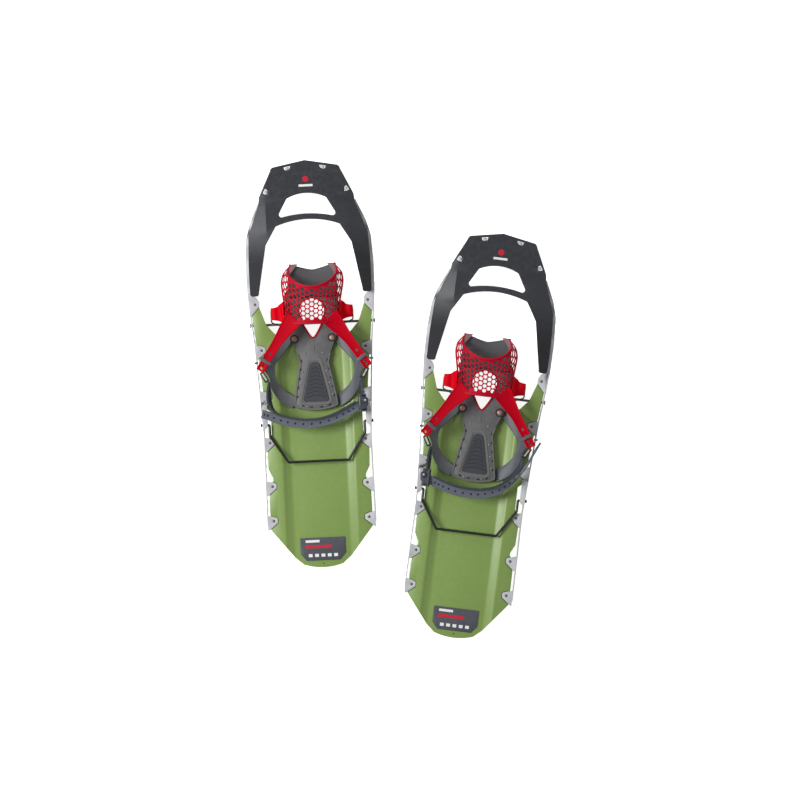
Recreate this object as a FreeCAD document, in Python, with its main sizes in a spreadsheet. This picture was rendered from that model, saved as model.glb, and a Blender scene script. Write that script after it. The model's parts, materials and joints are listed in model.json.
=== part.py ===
import FreeCAD, Part
import math
import os

from FreeCAD import Placement, Rotation, Vector

# A pair of moulded snowshoes.  Each shoe is drawn in its own frame: x across, y towards the toe,
# z up, with the origin half way along on the ground.  "inner" is +1 where the instep side is +x.

doc = FreeCAD.newDocument("snowshoes")
sheet = doc.addObject("Spreadsheet::Sheet", "Sizes")

SIZES = {
    "half_length": 320,         # middle of the shoe to the toe or tail
    "steel": 2,                 # sheet steel of rails and brackets
    "rail_top": 27,             # top face of the rails' inward tabs
    "tooth_root": 8,
    "tooth_pitch": 14,
    "nose_sheet": 5,
    "nose_base": 45,            # height of the nose's flat top at the start of its curve
    "nose_start": 100,
    "nose_radius": 640,
    "nose_flat": 65,            # half width of the flat top, outside which it slopes down
    "nose_slope": 0.4,
    "deck_sheet": 6,
    "trough_floor": 20,
    "trough_half": 42,
    "trough_bank": 58,
    "axle_along": 65,
    "axle_height": 16,
    "axle_radius": 2,
    "bushing_radius": 4,
    "running_gap": 0.08,
    "bail_along": -92.5,
    "bail_height": 31,
    "bail_radius": 2,
    "bail_cover": 35.4,         # top of the rails' flange over the bail's ends
    "bail_bend": 2.4,
    "base_under": 24,           # underside of the binding's base plate
    "base_sheet": 5,
    "harness_sheet": 3.5,
    "crampon_sheet": 2.5,
    "net_wall": 2.4,
    "toe_lean": 0.06,           # how far the toe end leans to the instep, for each unit forward
    "strap_width": 14,
    "strap_sheet": 2.5,
    "heel_strap_under": 48,
    "heel_strap_deep": 8,
    "tab_rivet": 1.5,
    "rivet_head": 2.2,
}
for row, (alias, number) in enumerate(SIZES.items(), start=1):
    sheet.set(f"A{row}", alias.replace("_", " "))
    sheet.set(f"B{row}", str(number))
    sheet.setAlias(f"B{row}", alias)
doc.recompute()


def size(alias):
    return float(sheet.get(alias))


TURNS = {"XY": Rotation(), "XZ": Rotation(Vector(1, 0, 0), 90), "YZ": Rotation(Vector(1, 1, 1), 120)}
NODES = []


# ---------------------------------------------------------------- drawing helpers

def sketch(name, plane, steps, shift=Vector(), height=None):
    """A closed outline.  A step is a corner (u, v), or (via_u, via_v, u, v) for an arc."""
    drawn = doc.addObject("Sketcher::SketchObject", name)
    drawn.Placement = Placement(shift, TURNS[plane])
    if height:
        drawn.setExpression("Placement.Base.z", height)
    here = Vector(*steps[-1][-2:], 0)
    for step in steps:
        there = Vector(*step[-2:], 0)
        if len(step) == 4:
            drawn.addGeometry(Part.Arc(here, Vector(*step[:2], 0), there), False)
        else:
            drawn.addGeometry(Part.LineSegment(here, there), False)
        here = there
    return drawn


def prism(name, outline, depth, along=None):
    """An outline pushed out along its normal, or along another direction."""
    solid = doc.addObject("Part::Extrusion", name)
    solid.Base = outline
    solid.DirMode = "Custom" if along else "Normal"
    if along:
        solid.Dir = along
    solid.Solid = True
    solid.setExpression("LengthFwd", str(depth))
    return solid


def plate(name, steps, under, thick):
    """A flat plate of the outline, its underside at the height "under"."""
    return prism(name, sketch(name + "_outline", "XY", steps, height=str(under)), thick)


def cylinder(name, radius, length, base, direction):
    rod = doc.addObject("Part::Cylinder", name)
    rod.setExpression("Radius", str(radius))
    rod.setExpression("Height", str(length))
    rod.Placement = Placement(base, Rotation(Vector(0, 0, 1), direction))
    return rod


def fuse(name, *pieces):
    joined = doc.addObject("Part::MultiFuse", name)
    joined.Shapes = list(pieces)
    joined.Refine = True
    return joined


def cut(name, base, *tools):
    rest = doc.addObject("Part::Cut", name)
    rest.Base = base
    rest.Tool = tools[0] if len(tools) == 1 else fuse(name + "_tools", *tools)
    rest.Refine = True
    return rest


def common(name, first, second):
    shared = doc.addObject("Part::Common", name)
    shared.Base = first
    shared.Tool = second
    shared.Refine = True
    return shared


def group(name, *pieces):
    together = doc.addObject("Part::Compound", name)
    together.Links = list(pieces)
    return together


def bar(name, start, end, width, thick):
    """A flat strip from one point to another, its underside along the line between them."""
    run = (end - start).normalize()
    side = Vector(0, 0, 1).cross(run).normalize()
    box = doc.addObject("Part::Box", name)
    box.Length = (end - start).Length
    box.setExpression("Width", str(width))
    box.setExpression("Height", str(thick))
    box.recompute()
    box.Placement = Placement(start - side * float(box.Width) / 2, Rotation(run, side, run.cross(side), "XYZ"))
    return box


def wire_rod(name, corners, height, radius, bend):
    """A round rod bent along corners (x, y) that lie at one height."""
    path = doc.addObject("Sketcher::SketchObject", name + "_path")
    path.Placement = Placement(Vector(0, 0, height), Rotation())
    points = [Vector(*corner, 0) for corner in corners]
    here = points[0]
    edges = 0
    for before, corner, after in zip(points, points[1:], points[2:]):
        back, ahead = (before - corner).normalize(), (after - corner).normalize()
        half = back.getAngle(ahead) / 2
        reach = bend / math.tan(half)
        middle = corner + (back + ahead).normalize() * (bend / math.sin(half) - bend)
        path.addGeometry(Part.LineSegment(here, corner + back * reach), False)
        path.addGeometry(Part.Arc(corner + back * reach, middle, corner + ahead * reach), False)
        here = corner + ahead * reach
        edges += 2
    path.addGeometry(Part.LineSegment(here, points[-1]), False)
    ring = doc.addObject("Part::Circle", name + "_ring")
    ring.setExpression("Radius", str(radius))
    ring.Placement = Placement(points[0] + Vector(0, 0, height),
                               Rotation(Vector(0, 0, 1), points[1] - points[0]))
    rod = doc.addObject("Part::Sweep", name)
    rod.Sections = [ring]
    rod.Spine = (path, [f"Edge{number + 1}" for number in range(edges + 1)])
    rod.Solid = True
    return rod


def mirrored(steps):
    """A half outline that starts and ends on the middle line, closed by its reflection."""
    back = []
    for number in range(len(steps) - 1, 0, -1):
        x, y = steps[number - 1][-2:]
        via = (-steps[number][0], steps[number][1]) if len(steps[number]) == 4 else ()
        back.append(via + (-x, y))
    return steps[1:] + back


def side_of(steps, sign):
    """The steps moved to the side that the sign names."""
    return [tuple(value * sign if place % 2 == 0 else value for place, value in enumerate(step))
            for step in steps]


def leaning(steps, inner):
    """The steps moved towards the instep, further the nearer they are to the toe."""
    moved = []
    for step in steps:
        corners = [(x + toe_shift(y, inner), y) for x, y in zip(step[::2], step[1::2])]
        moved.append(tuple(value for corner in corners for value in corner))
    return moved


def toe_shift(y, inner):
    return max(0.0, y - KEYHOLE_MIDDLE) * size("toe_lean") * inner


def ribbon(line, width):
    """Outline of a strip of even width along a line of points."""
    left, right = [], []
    for number, (x, y) in enumerate(line):
        before, after = line[max(number - 1, 0)], line[min(number + 1, len(line) - 1)]
        along = Vector(after[0] - before[0], after[1] - before[1], 0).normalize()
        left.append((x - along.y * width / 2, y + along.x * width / 2))
        right.append((x + along.y * width / 2, y - along.x * width / 2))
    return left + right[::-1]


def keep(solid, label, shoe):
    """Names a finished sub-part and moves it to its shoe's place."""
    solid.Label = f"{shoe['prefix']}_{label}"
    solid.Placement = shoe["place"]
    NODES.append(solid)
    return solid


def rivets(label, shoe, places, head, shank=0, deep=0, foot=0):
    """Domed rivets at (x, y, z of the head's seat), some with a shank and a formed foot."""
    dome = head * 0.4
    steps = [(0, dome), (head * 0.7, dome * 0.75, head, 0)]
    if deep:
        steps += [(shank, 0), (shank, -deep), (foot, -deep), (foot, -deep - 1.2), (0, -deep - 1.2)]
    else:
        steps += [(0, 0)]
    name = f"{shoe['prefix']}_{label}"
    section = sketch(name + "_section", "XZ", steps)
    made = []
    for number, (x, y, z) in enumerate(places):
        rivet = doc.addObject("Part::Revolution", f"{name}_{number}")
        rivet.Source = section
        rivet.Axis = Vector(0, 0, 1)
        rivet.Angle = 360
        rivet.Solid = True
        rivet.Placement = Placement(Vector(x, y, z), Rotation())
        made.append(rivet)
    return keep(group(name + "_group", *made), label, shoe)


# ---------------------------------------------------------------- shared geometry of one shoe

# Outer face of a side rail in plan, from the tail end to the nose, on the +x side.
RAIL_LINE = [(86, -251), (86, -230), (85, -145), (85, -110), (93, 33), (98, 85),
             (100.5, 116), (101, 160), (98.5, 200), (92, 223), (77, 256)]
TABS = [(75.1, -243.9), (74.7, -189.5), (75.4, -120.8), (75.4, -47.6), (81.9, 25.3), (88.7, 97.8)]
KEYHOLE_MIDDLE = 84.5
KEYHOLE_RADIUS = 20


def rail_x(y):
    """The rail's outer face at a place along the shoe."""
    for (x0, y0), (x1, y1) in zip(RAIL_LINE, RAIL_LINE[1:]):
        if y0 <= y <= y1:
            return x0 + (x1 - x0) * (y - y0) / (y1 - y0)
    raise ValueError(f"no rail at {y}")


def nose_z(y):
    """Height of the nose's flat top: an arc that turns up towards the toe."""
    radius = size("nose_radius")
    return size("nose_base") + radius - math.sqrt(radius ** 2 - (y - size("nose_start")) ** 2)


def slope_drop(x):
    return max(0.0, abs(x) - size("nose_flat")) * size("nose_slope")


def nose_band(name, first, last, sides, drop, thick):
    """A sheet that follows the nose's curve, flat in the middle and sloping down at each side."""
    middle = (first + last) / 2
    steps = [(first, nose_z(first) - drop),
             (middle, nose_z(middle) - drop, last, nose_z(last) - drop),
             (last, nose_z(last) - drop - thick),
             (middle, nose_z(middle) - drop - thick, first, nose_z(first) - drop - thick)]
    flat, slope = size("nose_flat"), size("nose_slope")
    pieces = []
    if not sides:
        centre = sketch(name + "_centre", "YZ", steps, Vector(-flat, 0, 0))
        pieces.append(prism(name + "_flat", centre, "Sizes.nose_flat * 2"))
    reach = 40 * math.hypot(1, slope)
    for sign in sides or (-1, 1):
        flank = sketch(f"{name}_flank{sign}", "YZ", steps, Vector(sign * flat, 0, 0))
        pieces.append(prism(f"{name}_slope{sign}", flank, reach, Vector(sign, 0, -slope)))
    return pieces[0] if len(pieces) == 1 else fuse(name, *pieces)


def tab_steps(x, y, sign, grow=0.0):
    """An inward tab of the rail: square in front, its rear edge slanted."""
    front, back = (18, 19) if y > 90 else (9.5, 15)
    root = rail_x(y) - size("steel") / 2
    edge = root + grow * 4
    tip = x - 6.5 - grow
    return side_of([(edge, y + front + grow), (tip + 4, y + front * 0.6 + grow), (tip, y + 4),
                    (tip, y - 3 - grow), (root - 2, y - back - grow), (edge, y - back - grow)], sign)


# ---------------------------------------------------------------- frame of the shoe

def make_deck(shoe):
    name = shoe["prefix"] + "_deck"
    wing, floor, sheet_z = size("rail_top"), size("trough_floor"), size("deck_sheet")
    half, bank = size("trough_half"), size("trough_bank")
    top = [(110, wing), (bank + 2, wing), (bank - 1, wing - 0.4, bank - 3.5, wing - 1.9),
           (half + 4, floor + 0.9), (half + 1.5, floor + 0.2, half - 1.5, floor)]
    upper = top + [(1.5 - half, floor), (-half - 1.5, floor + 0.2, -half - 4, floor + 0.9),
                   (-bank + 3.5, wing - 1.9), (-bank + 1, wing - 0.4, -bank - 2, wing), (-110, wing)]
    lower = [(-110, wing - sheet_z), (-bank, wing - sheet_z), (-half, floor - sheet_z),
             (half, floor - sheet_z), (bank, wing - sheet_z), (110, wing - sheet_z)]
    section = sketch(name + "_section", "XZ", upper + lower, Vector(0, 120, 0))
    sheet_solid = prism(name + "_sheet", section, 120 + size("half_length") + 5)
    tail = size("half_length")
    outline = mirrored([
        (0, 36), (44, 38), (60.5, 51), (73, 65.4), (83, 94.5), (85, 106), (96.5, 106), (95, 84),
        (90, 36), (87.5, 14), (83, -32), (81.5, -64), (72, -72), (72, -108), (80, -116),
        (80.5, -133), (79.5, -163), (73, -176), (73, -181), (80, -187), (80.5, 62.5 - tail),
        (43.9, 16.3 - tail), (31, 5.2 - tail), (16, 1.3 - tail, 0, -tail)])
    plan = plate(name + "_plan", outline, 5, 40)
    body = common(name + "_body", sheet_solid, plan)
    pockets = []
    for sign in (-1, 1):
        for number, (x, y) in enumerate(TABS):
            label = f"{name}_recess{number}{'l' if sign < 0 else 'r'}"
            pockets.append(plate(label, tab_steps(x, y, sign, grow=0.9),
                                 "Sizes.rail_top - Sizes.steel", 6))
            pockets.append(cylinder(label + "_bore", "Sizes.tab_rivet + 0.1", 30,
                                    Vector(sign * x, y, 5), Vector(0, 0, 1)))
    keep(cut(name, body, *pockets), "deck", shoe)


def make_nose(shoe):
    name = shoe["prefix"] + "_nose"
    toe = size("half_length")
    outline = mirrored([
        (0, toe), (48.5, toe - 9), (53, toe - 11, 55, toe - 15), (74.5, toe - 55), (75.8, toe - 65),
        (94, 204), (96, 160), (95.8, 116), (94.5, 112, 90, 110.5), (86, 110.5),
        (82.5, 112, 81.5, 116), (67.5, 190), (50.3, 218.5), (25.5, 225.6, 0, 228)])
    plan = plate(name + "_plan", outline, 10, 90)
    body = common(name + "_body", nose_band(name + "_band", 100, 325, (), 0, size("nose_sheet")), plan)
    window = [(0, 237, 40.3, 232.3), (43.4, 234.2, 43.6, 239), (31, 261),
              (0, 268.7, -31, 261), (-43.6, 239), (-43.4, 234.2, -40.3, 232.3)]
    tools = [plate(name + "_window", window, 20, 80)]
    for sign in (-1, 1):
        for number, steps in enumerate(NOSE_TABS):
            tools.append(plate(f"{name}_slot{number}{'l' if sign < 0 else 'r'}", side_of(steps, sign), 20, 80))
    keep(cut(name, body, *tools), "nose", shoe)


# Windows in the nose through which the toe rail's tabs come up: one beside the toe, one at the side.
NOSE_TABS = [[(22.8, 311.6), (33.2, 309.8), (30.8, 304.4), (25.2, 305.4)],
             [(59.4, 274.6), (63.8, 278), (67.8, 271), (60.8, 268.4)]]


def shrunk(steps, by):
    """The outline drawn in towards its middle."""
    cx = sum(x for x, _ in steps) / len(steps)
    cy = sum(y for _, y in steps) / len(steps)
    return [(cx + (x - cx) * by, cy + (y - cy) * by) for x, y in steps]


def tab_middle(steps):
    return (sum(x for x, _ in steps) / len(steps), sum(y for _, y in steps) / len(steps))


def make_toe_rail(shoe):
    name = shoe["prefix"] + "_toe_rail"
    steel = size("steel")
    outer = [(64, 268), (50, 298), (46, 303), (0, 312)]
    inner = [(0, 312 - steel * 1.1), (45, 303 - steel * 1.1), (48.2, 297.4), (62.2, 267.2)]
    ring = outer + [(-x, y) for x, y in reversed(outer[:-1])]
    ring += [(-x, y) for x, y in reversed(inner[1:])] + inner
    strip = plate(name + "_strip", ring, 30, 60)
    band = nose_band(name + "_band", 255, 320, (), size("nose_sheet"), 14)
    pieces = [common(name + "_blade", strip, band)]
    for sign in (-1, 1):
        for number, steps in enumerate(NOSE_TABS):
            x, y = tab_middle(steps)
            top = nose_z(y) - slope_drop(x) - 1.6
            label = f"{name}_tab{number}{'l' if sign < 0 else 'r'}"
            pieces.append(plate(label, side_of(shrunk(steps, 0.82), sign), top - 6.5, 6.5))
    keep(fuse(name, *pieces), "toe_rail", shoe)
    places = [(sign * tab_middle(steps)[0], tab_middle(steps)[1],
               nose_z(tab_middle(steps)[1]) - slope_drop(tab_middle(steps)[0]) - 1.6)
              for sign in (-1, 1) for steps in NOSE_TABS]
    nose_caps = [(x, y, z + 0.01) for x, y, z in places]
    rivets("nose_rivets", shoe, nose_caps, 2.6)


def make_rail(shoe, label, sign):
    """A toothed steel blade on edge, with a sloping flange under the nose and six inward tabs."""
    name = f"{shoe['prefix']}_{label}"
    steel, top = size("steel"), size("rail_top")
    outer = RAIL_LINE
    inner = [(x - steel, y) for x, y in reversed(RAIL_LINE)]
    web = plate(name + "_web", side_of(outer + inner, sign), 0, 90)
    flange_drop = size("nose_sheet")
    crown = [(y, nose_z(y) - flange_drop - slope_drop(x)) for x, y in RAIL_LINE if y > 100]
    lug, cover = size("bail_along"), size("bail_cover")
    rim = [(-252, top), (lug - 9.5, top), (lug - 9.5, cover), (lug + 23.5, cover), (lug + 32.5, top + 2.3),
           (lug + 38, top), (104, top)]
    silhouette = rim + crown[:-1] + [(257, crown[-1][1] + 0.4), (257, crown[-1][1] - 9), (215, 24)]
    y, pitch, root = 200, size("tooth_pitch"), size("tooth_root")
    while y - pitch > -250:
        silhouette += [(y, root), (y - pitch * 0.42, 0), (y - pitch * 0.58, 0)]
        y -= pitch
    silhouette += [(y, root), (-252, root)]
    shape = prism(name + "_teeth", sketch(name + "_silhouette", "YZ", silhouette, Vector(-120, 0, 0)), 240)
    blade = common(name + "_blade", web, shape)
    edge = [(x, y) for x, y in RAIL_LINE if y > 110]
    ledge = [(87, 112)] + [(x - 14, y) for x, y in edge[1:-1]] + [(68, 252)]
    strip = plate(name + "_ledge", side_of([(100.2, 112)] + edge + ledge[::-1], sign), 10, 90)
    band = nose_band(name + "_band", 100, 300, (sign,), flange_drop, steel)
    pieces = [blade, common(name + "_flange", strip, band)]
    hood = [(lug + 32.5, top + 0.3), (lug + 32.5, top + 2.3), (lug + 23.5, cover), (lug - 9.5, cover),
            (lug - 9.5, cover - steel), (lug + 22.7, cover - steel)]
    hood_plan = [(77.4, lug - 2.5), (85, lug - 9.3), (85, lug + 32), (84, lug + 36), (77.4, lug + 36)]
    pieces.append(common(name + "_hood",
                         prism(name + "_hood_bend", sketch(name + "_hood_section", "YZ", hood,
                                                           Vector(-120, 0, 0)), 240),
                         plate(name + "_hood_plan", side_of(hood_plan, sign), 20, 30)))
    bores = [cylinder(name + "_axle_bore", "Sizes.axle_radius + 0.05", 240,
                      Vector(-120, size("axle_along"), size("axle_height")), Vector(1, 0, 0)),
             cylinder(name + "_bail_bore", "Sizes.bail_radius + Sizes.running_gap", 240,
                      Vector(-120, lug, size("bail_height")), Vector(1, 0, 0))]
    for number, (x, y) in enumerate(TABS):
        pieces.append(plate(f"{name}_tab{number}", tab_steps(x, y, sign),
                            "Sizes.rail_top - Sizes.steel", "Sizes.steel"))
        bores.append(cylinder(f"{name}_bore{number}", "Sizes.tab_rivet + 0.1", 20,
                              Vector(sign * x, y, 15), Vector(0, 0, 1)))
    keep(cut(name, fuse(name + "_whole", *pieces), *bores), label, shoe)


def make_axle(shoe):
    name = shoe["prefix"]
    along, height = size("axle_along"), size("axle_height")
    reach = rail_x(along) + 1.9
    rod = cylinder(name + "_axle_rod", "Sizes.axle_radius", 2 * reach,
                   Vector(-reach, along, height), Vector(1, 0, 0))
    keep(group(name + "_axle", rod), "axle", shoe)
    caps = []
    seat = size("axle_radius") + 0.05
    for sign in (-1, 1):
        steps = [(seat, 0), (3.6, 0), (3.6, 0.8), (3.3, 1.7, 2.2, 2), (0, 2), (0, 1.2), (seat, 1.2)]
        section = sketch(f"{name}_cap_section{sign}", "XZ", steps)
        cap = doc.addObject("Part::Revolution", f"{name}_cap{sign}")
        cap.Source = section
        cap.Axis = Vector(0, 0, 1)
        cap.Angle = 360
        cap.Solid = True
        cap.Placement = Placement(Vector(sign * (rail_x(along) + 0.7), along, height),
                                  Rotation(Vector(0, 0, 1), Vector(sign, 0, 0)))
        caps.append(cap)
    keep(group(name + "_caps", *caps), "axle_caps", shoe)


def make_badge(shoe):
    steps = mirrored([(0, -273), (34, -273), (35.1, -273.4, 35.5, -274.5), (35.5, -298),
                      (26.5, -309), (0, -309)])
    keep(plate(shoe["prefix"] + "_badge", steps, "Sizes.trough_floor", 1.4), "tail_badge", shoe)


# ---------------------------------------------------------------- heel lift

def make_heel_lift(shoe):
    along = size("bail_along")
    half = [(88, along), (74.8, along), (74.8, along - 18), (47.5, along - 60)]
    corners = half + [(-x, y) for x, y in reversed(half)]
    name = shoe["prefix"]
    rod = wire_rod(name + "_bail_rod", corners, size("bail_height"), "Sizes.bail_radius", size("bail_bend"))
    keep(group(name + "_bail", rod), "heel_lift_bail", shoe)
    caps = []
    for sign in (-1, 1):
        base = Vector(sign * 86.6, along, size("bail_height"))
        ring = cylinder(f"{name}_bail_cap{sign}", 2.6, 2.2, base, Vector(sign, 0, 0))
        bore = cylinder(f"{name}_bail_seat{sign}", "Sizes.bail_radius", 1.4, base, Vector(sign, 0, 0))
        caps.append(cut(f"{name}_bail_end{sign}", ring, bore))
    keep(group(name + "_bail_caps", *caps), "bail_caps", shoe)


# ---------------------------------------------------------------- binding

def keyhole(name, radius, under, thick):
    """The opening under the toes: a round window that runs back into a V."""
    round_hole = cylinder(name + "_round", radius, thick, Vector(0, KEYHOLE_MIDDLE, under), Vector(0, 0, 1))
    vee = plate(name + "_vee", [(-14, 70), (-13.5, 63), (-3, 44), (0, 42.3, 3, 44), (13.5, 63), (14, 70)],
                under, thick)
    return fuse(name, round_hole, vee)


def make_crampon(shoe):
    name = shoe["prefix"] + "_crampon"
    sheet_z = size("crampon_sheet")
    under = size("base_under") - sheet_z
    top = plate(name + "_top", mirrored([(0, 126), (36, 126), (36, 50), (22, 34), (0, 34)]), under, sheet_z)
    side = [(126, under + 1), (126, 7)]
    for number in range(4):
        y = 126 - number * 19
        side += [(y - 3, 1), (y - 7, 1), (y - 14, 9)] if number < 3 else [(y - 9, 9), (y - 18, 14)]
    side += [(50, under + 1)]
    wall = prism(name + "_wall", sketch(name + "_side", "YZ", side, Vector(-36, 0, 0)), 72)
    hollow = plate(name + "_hollow", mirrored([(0, 126 - sheet_z), (36 - sheet_z, 126 - sheet_z),
                                              (36 - sheet_z, 30), (0, 30)]), 0, under)
    gaps = [plate(f"{name}_gap{number}", [(x - 5.5, 140), (x + 5.5, 140), (x + 5.5, 120), (x - 5.5, 120)],
                  0, 11) for number, x in enumerate((-22, 0, 22))]
    bore = cylinder(name + "_bore", "Sizes.bushing_radius", 90,
                    Vector(-45, size("axle_along"), size("axle_height")), Vector(1, 0, 0))
    shell = fuse(name + "_shell", cut(name + "_skirt", wall, hollow), top)
    holes = [cylinder(f"{name}_hole{number}", 3.05, 30, Vector(x, 40.8, 10), Vector(0, 0, 1))
             for number, x in enumerate((-29.6, 29.6))]
    keep(cut(name, shell, keyhole(name + "_key", KEYHOLE_RADIUS + 1, 10, 20), bore, *gaps, *holes),
         "crampon", shoe)
    bushings = []
    for sign in (-1, 1):
        base = Vector(sign * 32.2, size("axle_along"), size("axle_height"))
        sleeve = cylinder(f"{name}_sleeve{sign}", "Sizes.bushing_radius", 6, base, Vector(sign, 0, 0))
        inside = cylinder(f"{name}_inside{sign}", "Sizes.axle_radius + Sizes.running_gap", 6, base,
                          Vector(sign, 0, 0))
        bushings.append(cut(f"{name}_bushing{sign}", sleeve, inside))
    keep(group(name + "_bushings", *bushings), "axle_bushings", shoe)


def make_footbed(shoe):
    name = shoe["prefix"] + "_footbed"
    outline = mirrored([(0, 118), (38, 118), (42.5, 112), (42.5, 60), (38, 46), (26.7, 18), (23.6, 4),
                        (34.7, -59.4), (33, -66, 24, -69.5), (12, -72, 0, -72.4)])
    base = plate(name + "_plate", outline, "Sizes.base_under", "Sizes.base_sheet")
    holes = [cylinder(f"{name}_hole{number}", 3.05, 30, Vector(x, 40.8, 10), Vector(0, 0, 1))
             for number, x in enumerate((-29.6, 29.6))]
    keep(cut(name, base, keyhole(name + "_key", KEYHOLE_RADIUS, 20, 20), *holes), "footbed", shoe)
    pad = mirrored([(0, 4), (6, 3, 8, -1), (19.6, -54), (19, -57, 16.5, -58), (0, -58)])
    keep(plate(name + "_pad", pad, "Sizes.base_under + Sizes.base_sheet", 1.8), "tread_pad", shoe)
    seat = size("base_under") + size("base_sheet")
    rivets("harness_rivets", shoe, [(-29.6, 40.8, seat), (29.6, 40.8, seat)], 4.8, 3, 7.5, 4.5)
    studs = [(sign * x, y, seat + 0.01) for sign in (-1, 1)
             for x, y in ((14, 17.7), (18.7, -11.2), (23, -30), (27, -48), (14, -66))]
    rivets("footbed_studs", shoe, studs, 1.8)


# Underside of the harness wings across the shoe: flat under the base, then up beside the boot.
WING_RISE = [(37, 20.8), (43, 21.2), (60, 31), (76, 46), (87, 62)]


def make_harness(shoe):
    name = shoe["prefix"] + "_harness"
    thick = size("harness_sheet")
    pieces = []
    for sign in (-1, 1):
        ring = side_of([(37, 62), (45, 62), (66, 35), (85, 5), (77, -7), (69, -22), (68, -38), (53, -59),
                        (37, -67)], sign)
        window = side_of([(37, 38), (54, 12), (57, -2), (60, -18), (46, -42), (37.5, -48), (36.5, -20),
                          (36.5, 30)], sign)
        side = "l" if sign < 0 else "r"
        plan = cut(f"{name}_ring_{side}", plate(f"{name}_plan_{side}", ring, 0, 100),
                   plate(f"{name}_gap_{side}", window, 0, 100))
        section = WING_RISE + [(x, z + thick) for x, z in reversed(WING_RISE)]
        section[-1] = (section[-1][0], size("base_under"))
        section[-2] = (section[-2][0], size("base_under"))
        bend = prism(f"{name}_bend_{side}",
                     sketch(f"{name}_section_{side}", "XZ", side_of(section, sign), Vector(0, 70, 0)), 150)
        pieces.append(common(f"{name}_wing_{side}", plan, bend))
    seat = size("base_under") + size("base_sheet")
    panel = mirrored([(0, 150), (9, 151.5), (33.5, 159.6), (38, 150), (41, 128), (41, 106), (30, 106),
                      (0, 106)])
    toe = plate(name + "_toe", leaning(panel, shoe["inner"]), seat, 3)
    gap = cylinder(name + "_toe_gap", KEYHOLE_RADIUS + 2, 20, Vector(0, KEYHOLE_MIDDLE, seat - 5),
                   Vector(0, 0, 1))
    pieces.append(cut(name + "_toe_plate", toe, gap))
    keep(group(name, *pieces), "harness", shoe)


# Half width and rise of the toe pocket's arch at places along the shoe.
NET_ARCHES = [(66, 46.2, 35), (100, 46.2, 34.5), (130, 48.8, 31), (158, 37, 10)]
NET_LIFT = 3.2          # the arch stands this far above the base plate


def make_toe_net(shoe):
    name = shoe["prefix"] + "_toe_net"
    inner, wall = shoe["inner"], size("net_wall")
    base = size("base_under") + size("base_sheet")
    sections = []
    for number, (y, half, rise) in enumerate(NET_ARCHES):
        outer, hollow = [], []
        for step in range(9):
            turn = math.radians(step * 22.5)
            outer.append((half * math.cos(turn), rise * math.sin(turn)))
            hollow.append(((half - wall) * math.cos(turn), (rise - wall) * math.sin(turn)))
        sections.append(sketch(f"{name}_section{number}", "XZ", outer + hollow[::-1],
                               Vector(toe_shift(y, inner), y, base + NET_LIFT)))
    arch = doc.addObject("Part::Loft", name + "_arch")
    arch.Sections = sections
    arch.Solid = True
    arch.Ruled = True
    edge = mirrored([(0, 121.6), (18, 125.6, 34.5, 138), (37.5, 145), (34, 158), (60, 158), (60, 66), (0, 66)])
    plan = plate(name + "_plan", leaning(edge, inner), 20, 60)
    pocket = common(name + "_pocket", arch, plan)
    ears = [plate(f"{name}_ear{sign}", side_of([(44.6, 72), (62, 72), (62, 91), (44.6, 91)], sign),
                  base + 3.4, 2.2) for sign in (-1, 1)]
    keep(fuse(name, pocket, *ears), "toe_net", shoe)
    loops = []
    for sign in (-1, 1):
        corners = [(sign * 48.4, 93), (sign * 64.2, 88), (sign * 64.2, 68), (sign * 50, 62.5)]
        loops.append(wire_rod(f"{name}_loop{sign}", corners, base + 1.5, 1.1, 4))
    keep(group(name + "_loops", *loops), "toe_loops", shoe)


def make_straps(shoe):
    name = shoe["prefix"]
    inner = shoe["inner"]
    for label, sign in (("inner", inner), ("outer", -inner)):
        start, end = Vector(sign * 40, 60, 54), Vector(sign * 82.5, -3, 64.5)
        strip = bar(f"{name}_{label}_strip", start, end, "Sizes.strap_width", "Sizes.strap_sheet")
        eye = cylinder(f"{name}_{label}_eye", 2, 40, end - (end - start).normalize() * 7 - Vector(0, 0, 20),
                       Vector(0, 0, 1))
        keep(cut(f"{name}_{label}_strap", strip, eye), f"{label}_instep_strap", shoe)
    keepers, pegs, loops = [], [], []
    for sign in (-1, 1):
        start, end = Vector(sign * 40, 60, 54), Vector(sign * 82.5, -3, 64.5)
        run = end - start
        rise = Vector(0, 0, size("strap_sheet") + 0.25)
        behind, ahead = start + run * 0.8 + rise, start + run * 0.87 + rise
        keepers.append(bar(f"{name}_keeper{sign}", behind, ahead, 19, 2))
        pegs.append(cylinder(f"{name}_peg{sign}", 1.7, 6, Vector(sign * 87.2, 5.5, 61), Vector(sign, 0, 0)))
        near, far = Vector(sign * 83.5, -9, 49), Vector(sign * 74.5, -24.5, 49)
        frame = bar(f"{name}_loop_frame{sign}", near, far, 7.5, 2.4)
        way = (far - near).normalize()
        slot = bar(f"{name}_loop_slot{sign}", near + way * 2.4 - Vector(0, 0, 3),
                   far - way * 2.4 - Vector(0, 0, 3), 3.2, 10)
        loops.append(cut(f"{name}_loop{sign}", frame, slot))
    keep(group(name + "_keepers", *keepers), "strap_keepers", shoe)
    keep(group(name + "_pegs", *pegs), "strap_pegs", shoe)
    keep(group(name + "_loops", *loops), "heel_strap_loops", shoe)


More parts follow.
